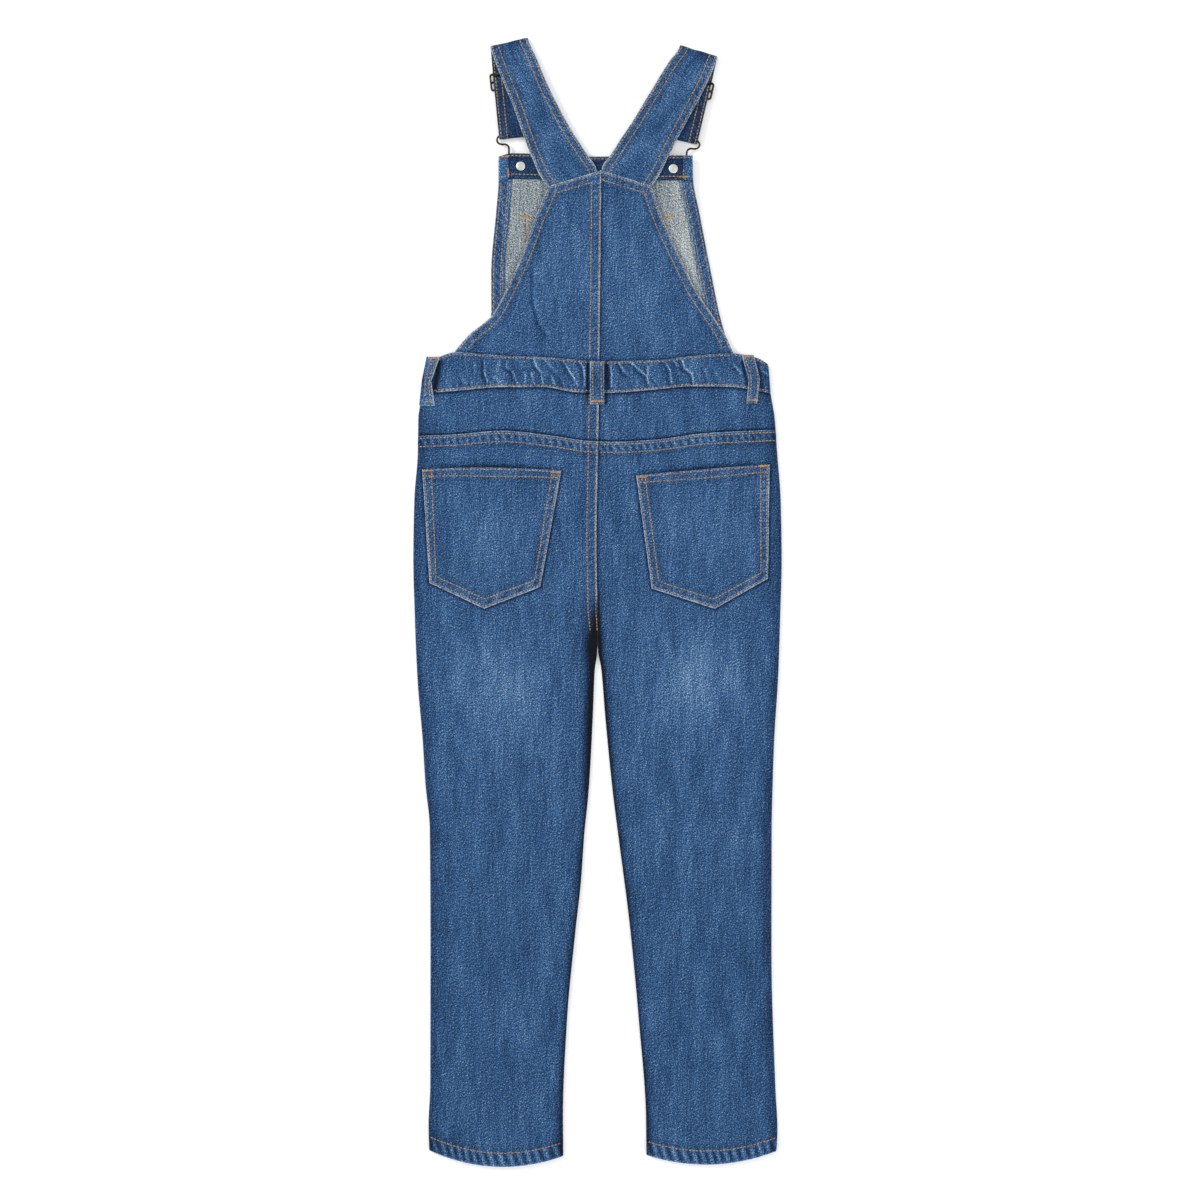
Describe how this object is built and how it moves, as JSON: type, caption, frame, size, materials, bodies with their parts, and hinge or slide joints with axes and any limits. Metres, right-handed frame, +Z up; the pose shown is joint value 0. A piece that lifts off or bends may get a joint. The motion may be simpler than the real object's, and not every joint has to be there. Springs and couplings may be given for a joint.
{
  "type": "denim dungarees",
  "caption": "Child's denim bib dungarees laid flat face down, with folded straps buttoned to the front bib and patch pockets behind.",
  "frame": {"origin": "middle of the laid-out garment's outline, on the surface it lies on", "axes": "+X towards the wearer's right, +Y from the hems to the shoulder folds, +Z up, away from the surface"},
  "size_m": [0.3689, 1.1304, 0.0117],
  "materials": {
    "denim": "washed mid-blue twill, faded on the thighs and worn light along its seams",
    "denim_wrong_side": "pale grey wrong side of the twill",
    "denim_dark": "unwashed indigo facing",
    "thread": "golden tan topstitching thread",
    "wire": "dark antiqued wire",
    "button": "bright worn nail heads and caps"
  },
  "bodies": {
    "root": {"front_leg_left": "denim", "front_leg_right": "denim", "front_waistband": "denim", "front_bib": "denim_wrong_side", "bib_facing": "denim_dark", "bib_pocket": "denim", "back_leg_left": "denim", "back_leg_right": "denim", "back_yoke_left": "denim", "back_yoke_right": "denim", "back_waistband": "denim", "back_bib_left": "denim", "back_bib_right": "denim", "back_pocket_left": "denim", "back_pocket_right": "denim", "belt_loop_left": "denim", "belt_loop_centre": "denim", "belt_loop_right": "denim", "strap_left": "denim", "strap_right": "denim", "slider_left": "wire", "slider_right": "wire", "buckle_left": "wire", "buckle_right": "wire", "button_left": "button", "button_right": "button"}
  },
  "joints": []
}
